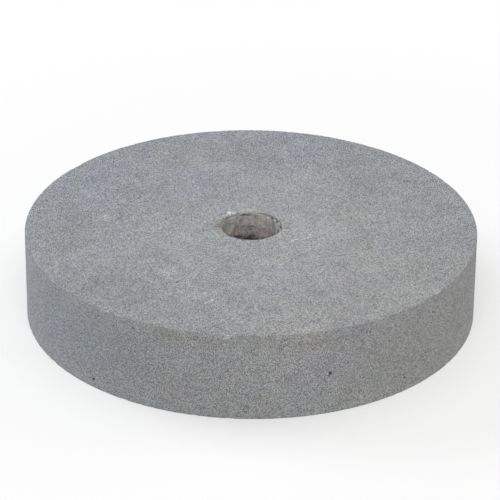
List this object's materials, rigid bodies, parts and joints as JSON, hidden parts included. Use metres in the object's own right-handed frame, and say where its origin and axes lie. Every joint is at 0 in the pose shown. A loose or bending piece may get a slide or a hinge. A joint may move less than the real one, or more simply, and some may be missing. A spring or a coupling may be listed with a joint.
{
  "type": "grinding stone",
  "caption": "Straight round grinding stone: a thick grey disc of bonded abrasive with a lined arbor hole through its middle, for sharpening tools on its rim.",
  "frame": {"origin": "middle of the lower flat face, on the axis of the arbor hole", "axes": "+Z along the axis of the arbor hole, up out of the upper face; X and Y lie in the lower face"},
  "size_m": [0.25, 0.25, 0.05],
  "materials": {
    "abrasive_stone": "fine gritty bonded abrasive, matt",
    "lining_mortar": "rough pale brown cast mortar, matt"
  },
  "bodies": {
    "root": {"stone": "abrasive_stone", "bore_lining": "lining_mortar"}
  },
  "joints": []
}
